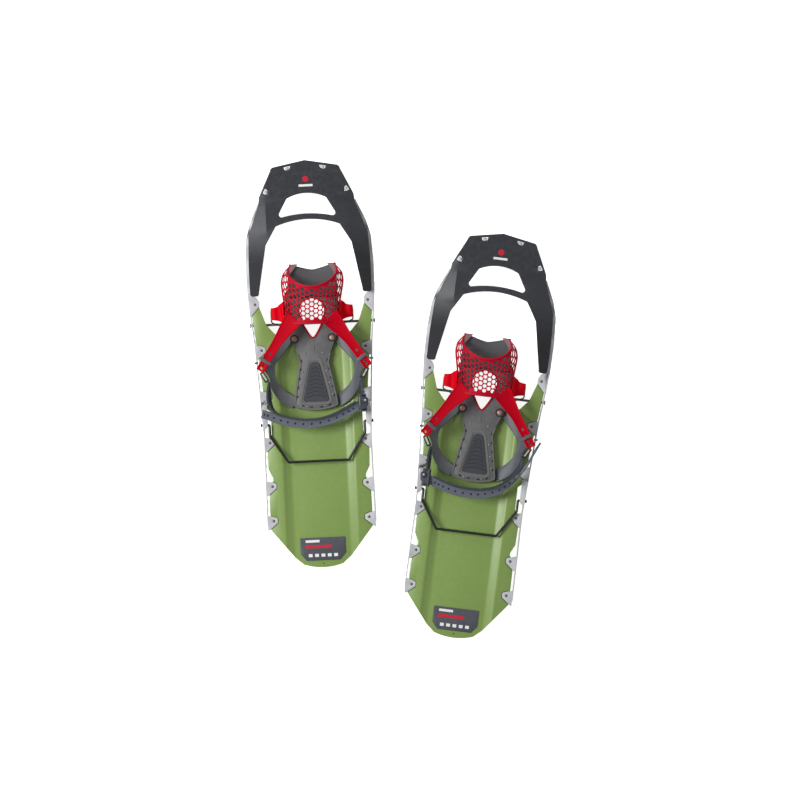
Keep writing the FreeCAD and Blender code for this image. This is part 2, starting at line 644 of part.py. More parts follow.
def make_heel_strap(shoe):
    """The band round the heel with its free end on the outer side, and its run to the instep loop."""
    name = shoe["prefix"] + "_heel_strap"
    inner, back = shoe["inner"], shoe["buckle_back"]
    under, deep = "Sizes.heel_strap_under", "Sizes.heel_strap_deep"
    to_buckle = [(65.5, -77 - back), (62, -62.5 - back)]
    if shoe["loose_end"]:
        band = [(-73.8, -26), (-73.2, -40), (-66, -56), (-55, -73.5), (-44, -86), (-25, -95), (-3.5, -98),
                (20, -96.5), (50, -90)] + to_buckle
        band += [(20, -81), (0, -83.5), (-20, -82.5), (-38, -76), (-50, -66), (-62, -50), (-70.6, -38),
                 (-70.6, -26)]
        around = plate(name + "_band", side_of(band, inner), under, deep)
        tail = plate(name + "_tail", side_of(ribbon(shoe["loose_end"], 2.6), inner), under, deep)
        around = fuse(name + "_around", around, tail)
    else:
        band = [(-73.8, -26), (-74.5, -71), (-85.5, -71), (-85.5, -77.4), (-51, -93),
                (-15, -99.6, 19, -96.4), (50, -85.7)] + to_buckle
        band += [(20, -80), (-10, -86.6, -40.6, -84.5), (-62, -76), (-70.6, -60), (-70.6, -26)]
        around = plate(name + "_band", side_of(band, inner), under, deep)
    riser = [(70.6, -26), (73.8, -26), (73.8, -49.5 - back), (70.6, -49.5 - back)]
    stub = plate(name + "_stub", side_of(riser, inner), under, deep)
    keep(group(name, around, stub), "heel_strap", shoe)


def make_buckle(shoe):
    """A cam buckle: a frame with two cheeks, a cross pin and a lever that flips up."""
    name = shoe["prefix"] + "_buckle"
    inner, back = shoe["inner"], shoe["buckle_back"]
    under = size("heel_strap_under")
    low, high = (66.5, 79.5) if inner > 0 else (-79.5, -66.5)

    def block(label, y0, y1, tall):
        corners = [(low, y0 - back), (high, y0 - back), (high, y1 - back), (low, y1 - back)]
        return plate(f"{name}_{label}", corners, "Sizes.heel_strap_under", tall)

    floor = block("floor", -78, -50, 2.2)
    cheeks = [block("cheek0", -78, -75.4, 10), block("cheek1", -52.6, -50, 10)]
    pin_x, pin_z = 69.8 * inner, under + 7

    def rod(label, radius, length, y):
        return cylinder(f"{name}_{label}", radius, length, Vector(pin_x, y - back, pin_z), Vector(0, 1, 0))

    keep(cut(name + "_frame", fuse(name + "_body", floor, *cheeks), rod("bore", 1.25, 40, -84)),
         "buckle_frame", shoe)
    keep(group(name + "_cross_pin", rod("spindle", 1.2, 28, -78)), "buckle_pin", shoe)
    tongue = [(69.8, -74), (74.5, -74), (82.4, -64, 74.5, -54), (69.8, -54)]
    tongue = [tuple(value - back if place % 2 else value for place, value in enumerate(step))
              for step in tongue]
    flap = plate(name + "_tongue", side_of(tongue, inner), pin_z + 0.2, 2.5)
    hollow = rod("hollow", "1.2 + Sizes.running_gap", 40, -84)
    keep(cut(name + "_lever", fuse(name + "_cam", rod("barrel", 2.9, 22, -75), flap), hollow),
         "buckle_lever", shoe)


# ---------------------------------------------------------------- the pair

# "loose_end" is the line along which the heel strap's free end stands away from the outer side.
SHOES = [
    {"prefix": "left", "inner": 1, "buckle_back": 0, "loose_end": None,
     "place": Placement(Vector(-135.875, 56.09, 0), Rotation(Vector(0, 0, 1), 2.7))},
    {"prefix": "right", "inner": -1, "buckle_back": 10,
     "loose_end": [(-62, -54), (-69, -50), (-81, -34), (-88.5, -17.5), (-97, 2.5)],
     "place": Placement(Vector(121.835, -57.25, 0), Rotation(Vector(0, 0, 1), -7.1))},
]
for shoe in SHOES:
    make_deck(shoe)
    make_nose(shoe)
    make_toe_rail(shoe)
    make_rail(shoe, "inner_rail", shoe["inner"])
    make_rail(shoe, "outer_rail", -shoe["inner"])
    rivets("deck_rivets", shoe, [(sign * x, y, size("rail_top")) for sign in (-1, 1) for x, y in TABS],
           size("rivet_head"), size("tab_rivet"), size("deck_sheet"), 2.6)
    make_axle(shoe)
    make_badge(shoe)
    make_heel_lift(shoe)
    make_crampon(shoe)
    make_footbed(shoe)
    make_harness(shoe)
    make_toe_net(shoe)
    make_straps(shoe)
    make_heel_strap(shoe)
    make_buckle(shoe)

doc.recompute()
faults = [item.Name for item in doc.Objects if "Invalid" in item.State or "Error" in item.State]
for node in NODES:
    if node.Shape.isNull() or not node.Shape.isValid() or not node.Shape.Solids:
        faults.append(node.Label)
if faults:
    raise RuntimeError("faulty objects: " + ", ".join(faults))

os.makedirs("parts", exist_ok=True)
whole = FreeCAD.BoundBox()
for node in NODES:
    node.Shape.exportStep(f"parts/{node.Label}.step")
    whole.add(node.Shape.BoundBox)
print(f"{len(NODES)} sub-parts, box {whole}")
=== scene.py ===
"""A pair of mountain snowshoes: finishes for the hard parts, and modelled soft parts that ride on the
bodies of the loaded frame."""
import json
import math

import bmesh
import bpy
from mathutils import Matrix, Vector


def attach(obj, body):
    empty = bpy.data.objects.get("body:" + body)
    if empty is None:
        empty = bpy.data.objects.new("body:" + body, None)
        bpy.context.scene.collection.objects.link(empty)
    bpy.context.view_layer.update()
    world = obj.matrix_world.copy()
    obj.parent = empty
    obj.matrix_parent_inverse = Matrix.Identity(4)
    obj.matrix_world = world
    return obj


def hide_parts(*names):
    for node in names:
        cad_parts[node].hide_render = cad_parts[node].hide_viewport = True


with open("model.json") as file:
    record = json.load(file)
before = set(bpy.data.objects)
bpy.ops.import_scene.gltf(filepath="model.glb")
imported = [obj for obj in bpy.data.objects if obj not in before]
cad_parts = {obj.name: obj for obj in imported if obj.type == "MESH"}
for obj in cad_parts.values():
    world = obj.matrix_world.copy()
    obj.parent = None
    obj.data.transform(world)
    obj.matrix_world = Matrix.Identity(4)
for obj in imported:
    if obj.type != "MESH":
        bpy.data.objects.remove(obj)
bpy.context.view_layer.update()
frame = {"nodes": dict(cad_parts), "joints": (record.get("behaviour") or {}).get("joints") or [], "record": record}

JOINTS = {joint["name"]: joint for joint in frame["joints"]}
MILLIMETRE = 0.001
UP = Vector((0, 0, 1))
PIVOT = Vector((0, 65, 16)) * MILLIMETRE        # the binding's pivot in a shoe's own frame
BASE_TOP = 29                                   # top of the binding's base plate, in millimetres
ON_BASE = BASE_TOP + 0.02                       # just clear of the base plate's own face
BADGE_TOP = 21.4                                # top of the tail's plate
# Behind the glossy part the nose also turns darker over the fade: painted shade on its legs.
NOSE_LIT_GLOSS_END, NOSE_DULL_SHADE_FADE = 215, 50       # the nose is glossy to here, then turns dull over this length
KEYHOLE = (0, 84.5)                             # middle of the round window under the toes
KEYHOLE_RADIUS = 20
ROUNDED_FROM = 28                               # hard parts' edges are rounded from this angle, in degrees
SHARP_FROM = 35                                 # modelled pieces keep edges sharp from this angle, in degrees
RELIEF_DEPTH = 0.0004                           # depth of the finishes' fine relief, in metres


# ---------------------------------------------------------------- the two shoes

def shoe_place(side):
    """A shoe's own frame (x across, y to the toe, millimetres) in the row frame, read from its pivot."""
    joint = JOINTS[f"{side}_binding_pivot"]
    across = -Vector(joint["axis"])
    turn = Matrix.Rotation(math.atan2(across.y, across.x), 4, "Z")
    place = Matrix.Translation(Vector(joint["pos_m"])) @ turn @ Matrix.Translation(-PIVOT)
    return place @ Matrix.Scale(MILLIMETRE, 4)


# "buckle_back" is how much further back the right shoe's buckle sits, as it is done up looser.
SHOES = [{"side": "left", "inner": 1, "buckle_back": 0, "place": shoe_place("left")},
         {"side": "right", "inner": -1, "buckle_back": 10, "place": shoe_place("right")}]


# ---------------------------------------------------------------- materials

def linear(red, green, blue):
    """A display colour of 0 to 255 as a linear colour."""
    parts = [value / 255 for value in (red, green, blue)]
    return tuple(part / 12.92 if part <= 0.04045 else ((part + 0.055) / 1.055) ** 2.4
                 for part in parts) + (1,)


class Nodes:
    """A node tree with short ways to add a node, set its values and join its inputs."""

    def __init__(self, tree):
        self.tree = tree

    def add(self, kind, settings=None, **inputs):
        """A new node; an input goes by its label, or by its number after an underscore."""
        node = self.tree.nodes.new(kind)
        for name, value in (settings or {}).items():
            setattr(node, name, value)
        for name, value in inputs.items():
            socket = node.inputs[int(name[1:])] if name[0] == "_" else node.inputs[name.replace("_", " ")]
            if isinstance(value, bpy.types.NodeSocket):
                self.tree.links.new(value, socket)
            else:
                socket.default_value = value
        return node

    def calc(self, operation, *values):
        """The result of an operation on two or three values."""
        inputs = {f"_{number}": value for number, value in enumerate(values)}
        return self.add("ShaderNodeMath", {"operation": operation}, **inputs).outputs["Value"]

    def spread(self, value, low, high, to_low=0.0, to_high=1.0):
        """A value brought from one range to another and held within it."""
        return self.add("ShaderNodeMapRange", Value=value, From_Min=low, From_Max=high,
                        To_Min=to_low, To_Max=to_high).outputs["Result"]

    def noise(self, at, scale, detail):
        return self.add("ShaderNodeTexNoise", Vector=at, Scale=scale, Detail=detail).outputs["Fac"]

    def stretched(self, at, scale):
        return self.add("ShaderNodeMapping", Vector=at, Scale=scale).outputs["Vector"]

    def attribute(self, name):
        return self.add("ShaderNodeAttribute", {"attribute_name": name}).outputs["Fac"]

    def scaled(self, colour, factor):
        node = self.add("ShaderNodeVectorMath", {"operation": "SCALE"}, _0=colour)
        self.tree.links.new(factor, node.inputs["Scale"])
        return node.outputs["Vector"]

    def mixed(self, part, colour, other, blend="MIX"):
        """Two colours mixed; the part says how much of the other one."""
        return self.add("ShaderNodeMix", {"data_type": "RGBA", "blend_type": blend},
                        _0=part, _6=colour, _7=other).outputs[2]


def new_group(name, inputs):
    """A shader node group with these inputs and a surface's three outputs; gives its nodes and inputs."""
    tree = bpy.data.node_groups.new(name, "ShaderNodeTree")
    kinds = {"colour": "NodeSocketColor", "value": "NodeSocketFloat"}
    for label, kind, default in inputs:
        socket = tree.interface.new_socket(label, in_out="INPUT", socket_type=kinds[kind])
        socket.default_value = default
    for label, kind in (("Colour", "colour"), ("Roughness", "value"), ("Height", "value")):
        tree.interface.new_socket(label, in_out="OUTPUT", socket_type=kinds[kind])
    nodes = Nodes(tree)
    return nodes, nodes.add("NodeGroupInput").outputs


def close_group(nodes, **results):
    """Joins the results to a group's outputs; returns the group."""
    nodes.add("NodeGroupOutput", **results)
    return nodes.tree


def moulded_group():
    """Moulded plastic or elastomer: fine grain, cloudy colour, paler scuffs, worn edges, and dulled places that
    are also darkened with painted shade.
    """
    nodes, given = new_group("Moulded surface", [
        ("Colour", "colour", (0.5, 0.5, 0.5, 1)), ("Scuff colour", "colour", (0.7, 0.7, 0.7, 1)),
        ("Grain size", "value", 900.0), ("Cloudiness", "value", 0.12), ("Scuffs", "value", 0.2),
        ("Roughness", "value", 0.45)])
    at = nodes.add("ShaderNodeTexCoord").outputs["Object"]
    grain = nodes.noise(at, given["Grain size"], 3.0)
    cloud = nodes.noise(at, 22.0, 4.0)
    streaks = nodes.spread(nodes.noise(nodes.stretched(at, (240, 30, 240)), 1.0, 6.0), 0.6, 0.78)
    broken = nodes.spread(nodes.noise(at, 160.0, 4.0), 0.42, 0.66)
    worn = nodes.calc("MULTIPLY", nodes.attribute("worn_edge"), broken)
    scuff = nodes.calc("MULTIPLY", nodes.calc("MAXIMUM", streaks, worn), given["Scuffs"])
    swing = nodes.calc("MULTIPLY", nodes.spread(cloud, 0.3, 0.7, -1.0, 1.0), given["Cloudiness"])
    tinted = nodes.scaled(given["Colour"], nodes.calc("ADD", swing, 1.0))
    scuffed = nodes.mixed(scuff, tinted, given["Scuff colour"])
    rough = nodes.calc("MULTIPLY_ADD", scuff, 0.3, given["Roughness"])
    # Dulled places turn rougher, and their colour is multiplied down towards 0.55: painted shade.
    dull_and_shade = nodes.attribute("dulled_and_shaded")
    return close_group(nodes, Colour=nodes.mixed(dull_and_shade, scuffed, (0.55, 0.55, 0.55, 1), "MULTIPLY"),
                       Roughness=nodes.calc("MULTIPLY_ADD", dull_and_shade, 0.45, rough),
                       Height=nodes.calc("MULTIPLY_ADD", streaks, -0.3, grain))


def steel_group():
    """Plated sheet steel: a rolled grain along the sheet, cloudy plating and small dark pits."""
    nodes, given = new_group("Plated steel", [
        ("Colour", "colour", (0.6, 0.6, 0.6, 1)), ("Roughness", "value", 0.4), ("Pits", "value", 0.3)])
    at = nodes.add("ShaderNodeTexCoord").outputs["Object"]
    lines = nodes.noise(nodes.stretched(at, (900, 45, 900)), 1.0, 4.0)
    cloud = nodes.noise(at, 60.0, 5.0)
    cells = nodes.add("ShaderNodeTexVoronoi", Vector=at, Scale=420.0).outputs["Distance"]
    pits = nodes.calc("MULTIPLY", nodes.spread(cells, 0.05, 0.28, 1.0, 0.0),
                      nodes.spread(cloud, 0.45, 0.62))
    dark = nodes.calc("MULTIPLY", pits, given["Pits"])
    tinted = nodes.scaled(given["Colour"], nodes.spread(cloud, 0.3, 0.7, 0.88, 1.08))
    return close_group(nodes, Colour=nodes.mixed(dark, tinted, (0.12, 0.12, 0.12, 1)),
                       Roughness=nodes.calc("MULTIPLY_ADD", cloud, 0.22, given["Roughness"]),
                       Height=nodes.calc("MULTIPLY_ADD", pits, -0.5, lines))


MOULDED = moulded_group()
STEEL = steel_group()


def finish_of(name, group, values, bump, plain):
    """A material whose colour, roughness and relief come from a group; plain values sit on the shader."""
    material = bpy.data.materials.new(name)
    material.use_nodes = True
    nodes = Nodes(material.node_tree)
    shader = material.node_tree.nodes["Principled BSDF"]
    surface = nodes.add("ShaderNodeGroup", {"node_tree": group}, **values)
    relief = nodes.add("ShaderNodeBump", Height=surface.outputs["Height"], Strength=bump,
                       Distance=RELIEF_DEPTH)
    material.node_tree.links.new(surface.outputs["Colour"], shader.inputs["Base Color"])
    material.node_tree.links.new(surface.outputs["Roughness"], shader.inputs["Roughness"])
    material.node_tree.links.new(relief.outputs["Normal"], shader.inputs["Normal"])
    for label, value in plain.items():
        shader.inputs[label].default_value = value
    return material


def moulded(name, colour, scuff, rough=0.45, grain=900.0, cloud=0.1, scuffs=0.2, bump=0.25, **plain):
    """A moulded finish; further inputs of the shader go by their labels."""
    values = {"Colour": linear(*colour), "Scuff_colour": linear(*scuff), "Grain_size": grain,
              "Cloudiness": cloud, "Scuffs": scuffs, "Roughness": rough}
    plain = {label.replace("_", " "): value for label, value in plain.items()}
    return finish_of(name, MOULDED, values, bump, plain)


def steel(name, colour, rough=0.3, pits=0.3, bump=0.15, metallic=1.0):
    return finish_of(name, STEEL, {"Colour": linear(*colour), "Roughness": rough, "Pits": pits}, bump,
                     {"Metallic": metallic})


# A moulded finish has its colour, its scuffs' colour, roughness, grain size, cloudiness, scuffs and relief;
# a steel one has its colour, roughness, pits, relief and how metallic it is.
FINISH = {
    "moss_plastic": moulded("Moss deck plastic", (122, 148, 76), (150, 170, 112), 0.38, 1400, 0.02, 0.1, 0.3),
    "charcoal_plastic": moulded("Charcoal nose plastic", (44, 46, 51), (92, 95, 102), 0.4, 1100,
                                0.04, 0.12, 0.35),
    "bare_steel": steel("Plated rail steel", (188, 189, 193), 0.55, 0.25, 0.12, 0.1),
    "dark_rivet": steel("Dull rivet steel", (98, 96, 98), 0.45, 0.5, 0.15, 0.5),
    "copper_rivet": steel("Copper rivet", (172, 136, 126), 0.4, 0.4, 0.15, 0.6),
    "crampon_steel": steel("Claw steel", (150, 150, 154), 0.34, 0.5),
    "black_wire": moulded("Black coated wire", (22, 24, 22), (80, 80, 80), 0.32, 1500, 0.1, 0.2, 0.15),
    "black_nylon": moulded("Black nylon", (26, 26, 28), (70, 70, 74), 0.4),
    "grey_plastic": moulded("Binding base plastic", (92, 93, 95), (124, 123, 120), 0.46, 1200,
                            0.05, 0.18, 0.3),
    "border_grey": moulded("Raised border plastic", (101, 101, 99), (136, 134, 128), 0.46, 1200,
                           0.05, 0.25, 0.3),
    "toe_grey": moulded("Toe plate elastomer", (72, 71, 75), (108, 108, 112), 0.55, 1300, 0.05, 0.16, 0.3),
    "dark_rubber": moulded("Tread pad rubber", (52, 54, 61), (88, 90, 98), 0.55, 1600, 0.05, 0.15, 0.3),
    # A paler copy of the harness elastomer: painted light for the wing that faces from the key lamp.
    "wing_elastomer_painted_light": moulded("Harness elastomer with painted light", (104, 107, 112), (132, 133, 138), 0.5, 1300,
                              0.05, 0.16, 0.3),
    "grey_elastomer": moulded("Harness elastomer", (76, 79, 86), (116, 117, 122), 0.5, 1300, 0.05, 0.16, 0.3),
    "slate_elastomer": moulded("Heel strap elastomer", (92, 96, 108), (124, 128, 140), 0.48, 1300,
                               0.05, 0.18, 0.3),
    "slate_plastic": moulded("Buckle plastic", (54, 57, 67), (104, 108, 120), 0.36, 1200, 0.06, 0.2, 0.2),
    "red_elastomer": moulded("Red net elastomer", (176, 0, 34), (206, 40, 66), 0.55, 1300,
                             0.05, 0.1, 0.22, Specular_IOR_Level=0.12),
    "bright_elastomer": moulded("Bright strap elastomer", (204, 0, 24), (226, 44, 66), 0.6, 1300,
                                0.04, 0.06, 0.22, Specular_IOR_Level=0.06),
    "strap_elastomer": moulded("Instep strap elastomer", (180, 0, 26), (206, 40, 60), 0.6, 1300,
                               0.04, 0.06, 0.22, Specular_IOR_Level=0.06),
    "blush_elastomer": moulded("Clear reinforcing film", (128, 98, 100), (160, 130, 130), 0.4, 1300,
                               0.08, 0.12, 0.2),
    "badge_grey": moulded("Badge film", (72, 74, 82), (112, 112, 122), 0.42, 1500, 0.03, 0.08, 0.15),
    "badge_white": moulded("White print", (226, 226, 226), (200, 200, 200), 0.5, 1500, 0.03, 0.1, 0.1),
    "badge_red": moulded("Red print", (190, 14, 44), (205, 70, 84), 0.5, 1500, 0.03, 0.1, 0.1),
    # Painted shade, for the small dimple behind the tail plate.
    "deck_dimple": moulded("Shaded deck dimple", (86, 102, 50), (104, 122, 70), 0.5, 1400, 0.02, 0.1, 0.2),
    # Painted shade, for the footbed's slots and rivet wells.
    "dark_hollow": moulded("Shaded slot", (30, 31, 34), (50, 50, 54), 0.6, 1200, 0.05, 0.1, 0.2),
    "dull_stud": steel("Dull stud steel", (146, 145, 140), 0.5, 0.5),
}


# ---------------------------------------------------------------- mesh helpers

def mirrored(shoe, points):
    """Points drawn for the left shoe, on this shoe's side."""
    return [Vector((point[0] * shoe["inner"],) + tuple(point[1:])) for point in points]


def smooth_path(points, steps):
    """A rounded line through the points, with this many steps from one to the next."""
    knots = [points[0] * 2 - points[1]] + list(points) + [points[-1] * 2 - points[-2]]
    line = []
    for before, start, end, after in zip(knots, knots[1:], knots[2:], knots[3:]):
        for step in range(steps):
            t = step / steps
            line.append(0.5 * (2 * start + (end - before) * t
                               + (2 * before - 5 * start + 4 * end - after) * t ** 2
                               + (3 * start - before - 3 * end + after) * t ** 3))
    return line + [points[-1]]


def smooth_values(values, steps):
    """Plain numbers, rounded off in the same way as a line."""
    return [point.x for point in smooth_path([Vector((value, 0, 0)) for value in values], steps)]


def ahead_at(path, number):
    """The direction in which a path runs at one of its points."""
    return path[min(number + 1, len(path) - 1)] - path[max(number - 1, 0)]


def loft(bm, rings):
    """A closed skin through rings of points: each ring is bridged to the next and the ends are filled."""
    loops = []
    for ring in rings:
        verts = [bm.verts.new(point) for point in ring]
        loops.append([bm.edges.new(pair) for pair in zip(verts, verts[1:] + verts[:1])])
    for near, far in zip(loops, loops[1:]):
        bmesh.ops.bridge_loops(bm, edges=near + far)
    for end in (loops[0], loops[-1]):
        bmesh.ops.contextual_create(bm, geom=end)


def band_ring(centre, across, up, width, thick, rim, rim_wide=1.8, rim_slope=0.6):
    """Section of a flat strap, its underside through the centre, with a raised rim along each edge."""
    half = width / 2
    if rim:
        top, inside = thick + rim, rim_wide + rim_slope
        flat = [(-half, 0), (-half, top), (rim_wide - half, top), (inside - half, thick),
                (half - rim_wide - rim_slope, thick), (half - rim_wide, top), (half, top), (half, 0)]
    else:
        flat = [(-half, 0), (-half, thick), (half, thick), (half, 0)]
    return [centre + across * x + up * z for x, z in flat]


def band(bm, path, ups, width, thick, rim=0.0):
    """A strap along a path, its upper face looking along ups; ups and width may be lists, one for each
    point of the path."""
    rings = []
    for number, centre in enumerate(path):
        ahead = ahead_at(path, number)
        up = ups[number] if isinstance(ups, list) else ups
        wide = width[number] if isinstance(width, list) else width
        across = ahead.cross(up).normalized()
        rings.append(band_ring(centre, across, across.cross(ahead).normalized(), wide, thick, rim))
    loft(bm, rings)


def prism(bm, outline, under, over):
    """A plate between two heights from an outline of (x, y)."""
    face = bmesh.ops.contextual_create(
        bm, geom=[bm.verts.new((x, y, under)) for x, y in outline])["faces"]
    grown = bmesh.ops.extrude_face_region(bm, geom=face)["geom"]
    bmesh.ops.translate(bm, verts=[item for item in grown if isinstance(item, bmesh.types.BMVert)],
                        vec=(0, 0, over - under))


def oblong(left, right, low, high):
    return [(left, low), (right, low), (right, high), (left, high)]


def disc(bm, centre, radius, depth, axis=UP, taper=1.0, segments=24):
    """A round plate that stands on its centre along an axis; the taper narrows its far face."""
    turn = UP.rotation_difference(axis).to_matrix().to_4x4()
    bmesh.ops.create_cone(bm, cap_ends=True, segments=segments, radius1=radius, radius2=radius * taper,
                          depth=depth, matrix=Matrix.Translation(centre + axis * depth / 2) @ turn)


def linked(bm, name):
    """The shape as an object of the scene."""
    mesh = bpy.data.meshes.new(name)
    bm.to_mesh(mesh)
    bm.free()
    shape = bpy.data.objects.new(name, mesh)
    bpy.context.scene.collection.objects.link(shape)
    return shape


def as_object(bm, name, transform):
    """The shape as an object whose place is in its mesh."""
    bmesh.ops.transform(bm, matrix=transform, verts=bm.verts)
    bmesh.ops.recalc_face_normals(bm, faces=bm.faces)
    return linked(bm, name)


def dress(shape, finish, sharp_from=SHARP_FROM):
    """Gives a shape its finish and smooth shading between edges sharper than an angle."""
    shape.data.materials.clear()
    shape.data.materials.append(FINISH[finish])
    shape.data.shade_smooth()
    shape.data.set_sharp_from_angle(angle=math.radians(sharp_from))


def add_piece(bm, shoe, name, body, finish, stands_for=(), bevel=0.0, smooth=0):
    """Places a modelled piece on its shoe, gives it its finish and rides it on its body."""
    shape = as_object(bm, f"{shoe['side']}_{name}", shoe["place"])
    if bevel:
        rounding = shape.modifiers.new("Rounded edges", "BEVEL")
        rounding.width = bevel * MILLIMETRE
        rounding.segments = 2
        rounding.limit_method = "ANGLE"
        rounding.angle_limit = math.radians(SHARP_FROM)
    if smooth:
        surface = shape.modifiers.new("Smooth skin", "SUBSURF")
        surface.levels = surface.render_levels = smooth
    dress(shape, finish, 180 if smooth else SHARP_FROM)
    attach(shape, f"{shoe['side']}_{body}")
    if stands_for:
        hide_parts(*[f"{shoe['side']}_{node}" for node in stands_for])
    return shape


def apply_modifiers(shape):
    """Makes the shape's modifiers part of its mesh."""
    shown = bpy.context.evaluated_depsgraph_get()
    mesh = bpy.data.meshes.new_from_object(shape.evaluated_get(shown))
    shape.modifiers.clear()
    shape.data = mesh


def punch(shape, cutter):
    """Cuts the cutter's solids out of the shape."""
    cut = shape.modifiers.new("Holes", "BOOLEAN")
    cut.operation = "DIFFERENCE"
    cut.solver = "EXACT"
    cut.object = cutter
    apply_modifiers(shape)
    bpy.data.objects.remove(cutter)


def punch_holes(strap, shoe, finish, radius, depth, spots):
    """Cuts round holes through a strap, each from a place along an axis, and dresses the strap again."""
    holes = bmesh.new()
    for place, axis in spots:
        disc(holes, place, radius, depth, axis)
    punch(strap, as_object(holes, "strap_holes", shoe["place"]))
    dress(strap, finish)


def softened(shoe, node, body, finish, width, sharp_from):
    """A hard part with its edges rounded, and an attribute that marks them for wear."""
    name = f"{shoe['side']}_{node}"
    bm = bmesh.new()
    bm.from_mesh(frame["nodes"][name].data)
    bmesh.ops.remove_doubles(bm, verts=bm.verts, dist=2e-6)
    bmesh.ops.dissolve_limit(bm, angle_limit=math.radians(0.8), verts=bm.verts, edges=bm.edges)
    edges = [edge for edge in bm.edges
             if len(edge.link_faces) == 2 and edge.calc_face_angle(0) > math.radians(ROUNDED_FROM)]
    worn = bm.verts.layers.float.new("worn_edge")
    made = bmesh.ops.bevel(bm, geom=edges, offset=width * MILLIMETRE, offset_type="OFFSET", affect="EDGES",
                           segments=2, profile=0.5, material=-1, clamp_overlap=False)
    for vert in made["verts"]:
        vert[worn] = 1.0
    # On the nose, a mask that is 0 on the glossy part and rises to 1 behind it; it dulls the legs and darkens them
    # with painted shade.
    if node == "nose":
        dulled_and_shaded = bm.verts.layers.float.new("dulled_and_shaded")
        local = shoe["place"].inverted()
        for vert in bm.verts:
            behind = NOSE_LIT_GLOSS_END - (local @ vert.co).y
            vert[dulled_and_shaded] = min(1.0, max(0.0, behind / NOSE_DULL_SHADE_FADE))
    bmesh.ops.triangulate(bm, faces=[face for face in bm.faces if len(face.verts) > 4])
    shape = linked(bm, name + "_soft")
    dress(shape, finish, sharp_from)
    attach(shape, f"{shoe['side']}_{body}")
    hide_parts(name)


# ---------------------------------------------------------------- binding pieces

# Half width and rise of the toe pocket at places along the shoe, to the middle of its wall.
NET_ARCHES = [(60, 44.8, 34), (84, 44.8, 33.6), (100, 45.6, 33.2), (115, 48.2, 31.6), (130, 50.2, 29.5),
              (142, 48.2, 21.5), (150, 43.4, 15), (158, 34.8, 9)]
NET_FOOT = BASE_TOP + 3.2
NET_WIDE, NET_DEEP = 126.0, 57.0                # the net as a flat sheet, before it is bent to the arch
NET_REACH = 88                                  # degrees from straight up to the sheet's side edges
CELL_PITCH, CELL_ROW = 7.3, 0.866               # hexagon pitch, and the row step as a share of it
STRAND_HALF, NET_THICK = 0.62, 1.6
TOE_LEAN = 0.06                                 # sideways lean to the instep for each unit forward


def lean(shoe, y):
    return max(0.0, y - KEYHOLE[1]) * TOE_LEAN * shoe["inner"]


def between(knots, at):
    """Values at a place along a table whose first column is the place."""
    for near, far in zip(knots, knots[1:]):
        if at <= far[0]:
            part = (max(at, near[0]) - near[0]) / (far[0] - near[0])
            return [low + (high - low) * part for low, high in zip(near[1:], far[1:])]
    return list(knots[-1][1:])


def arch(shoe, angle, y, inset=0.0):
    """A point of the toe pocket's arch; the angle is measured from straight up."""
    half, rise = between(NET_ARCHES, y)
    return Vector(((half - inset) * math.sin(angle) + lean(shoe, y), y,
                   NET_FOOT + (rise - inset) * math.cos(angle)))


def net_edges(angle):
    """Where the net's rear and front edges lie along the shoe, at an angle from straight up."""
    swing = abs(math.sin(angle))
    return 65 + 1.5 * swing ** 2, min(157.0, 121.6 + 28 * swing ** 2 + 18 * swing ** 8)


def make_toe_net(shoe):
    """Honeycomb pocket over the toes: hexagons clipped to a sheet, opened, thickened and bent to the arch."""
    bm = bmesh.new()
    rows = int(NET_WIDE / (CELL_PITCH * CELL_ROW) / 2) + 2
    columns = int(NET_DEEP / CELL_PITCH) + 3
    for row in range(-rows, rows + 1):
        shift = CELL_PITCH / 2 if row % 2 else 0
        for column in range(columns):
            at = Vector((row * CELL_PITCH * CELL_ROW, (column - 1) * CELL_PITCH + shift, 0))
            bmesh.ops.create_circle(bm, cap_ends=True, segments=6, radius=CELL_PITCH / math.sqrt(3),
                                    matrix=Matrix.Translation(at) @ Matrix.Rotation(math.pi / 2, 4, "Z"))
    bmesh.ops.remove_doubles(bm, verts=bm.verts, dist=0.4)
    for normal, reach in (((1, 0, 0), NET_WIDE / 2), ((-1, 0, 0), NET_WIDE / 2),
                          ((0, 1, 0), NET_DEEP), ((0, -1, 0), 0)):
        bmesh.ops.bisect_plane(bm, geom=list(bm.verts) + list(bm.edges) + list(bm.faces), dist=0.01,
                               plane_co=Vector(normal) * reach, plane_no=normal, clear_outer=True)
    bmesh.ops.dissolve_degenerate(bm, dist=0.3, edges=bm.edges)
    cells = [face for face in bm.faces if not any(edge.is_boundary for edge in face.edges)]
    bmesh.ops.inset_individual(bm, faces=cells, thickness=STRAND_HALF, use_even_offset=True)
    bmesh.ops.delete(bm, geom=cells, context="FACES")
    bmesh.ops.solidify(bm, geom=list(bm.faces), thickness=NET_THICK)
    bmesh.ops.recalc_face_normals(bm, faces=bm.faces)
    for vert in bm.verts:
        across, along, height = vert.co
        angle = across / (NET_WIDE / 2) * math.radians(NET_REACH)
        rear, front = net_edges(angle)
        away = Vector((math.sin(angle), 0, math.cos(angle)))
        vert.co = arch(shoe, angle, rear + (front - rear) * along / NET_DEEP) + away * height
    add_piece(bm, shoe, "toe_net_mesh", "binding", "red_elastomer", ["toe_net"], smooth=1)


